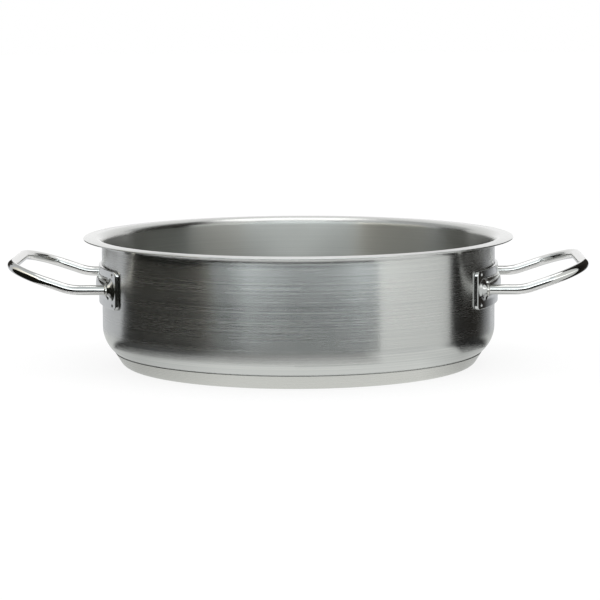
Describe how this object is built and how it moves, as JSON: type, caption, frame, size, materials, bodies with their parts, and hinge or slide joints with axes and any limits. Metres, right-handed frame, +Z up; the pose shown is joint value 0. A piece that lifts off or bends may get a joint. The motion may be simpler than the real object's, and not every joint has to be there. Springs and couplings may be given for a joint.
{
  "type": "braiser",
  "caption": "Low, wide stainless steel braiser with a flared pouring rim, a sandwich base and rising tube handles on pressed brackets, for browning and slow cooking.",
  "frame": {"origin": "centre of the flat underside, on the surface the braiser stands on", "axes": "+Z up along the pan's axis, +X out through the right handle"},
  "size_m": [0.4696, 0.352, 0.1055],
  "materials": {
    "pan_steel": "satin, brushed round the pan",
    "base_steel": "satin, turned",
    "core_aluminium": "rolled",
    "braze": "brazed",
    "bracket_steel": "polished",
    "tube_steel": "mirror polished",
    "weld_steel": "as welded"
  },
  "bodies": {
    "root": {"pot_body": "pan_steel", "base_cap": "base_steel", "base_core": "core_aluminium", "upper_braze": "braze", "lower_braze": "braze", "right_bracket": "bracket_steel", "left_bracket": "bracket_steel", "right_handle": "tube_steel", "left_handle": "tube_steel", "right_handle_welds": "weld_steel", "left_handle_welds": "weld_steel", "right_spot_welds": "weld_steel", "left_spot_welds": "weld_steel"}
  },
  "joints": []
}
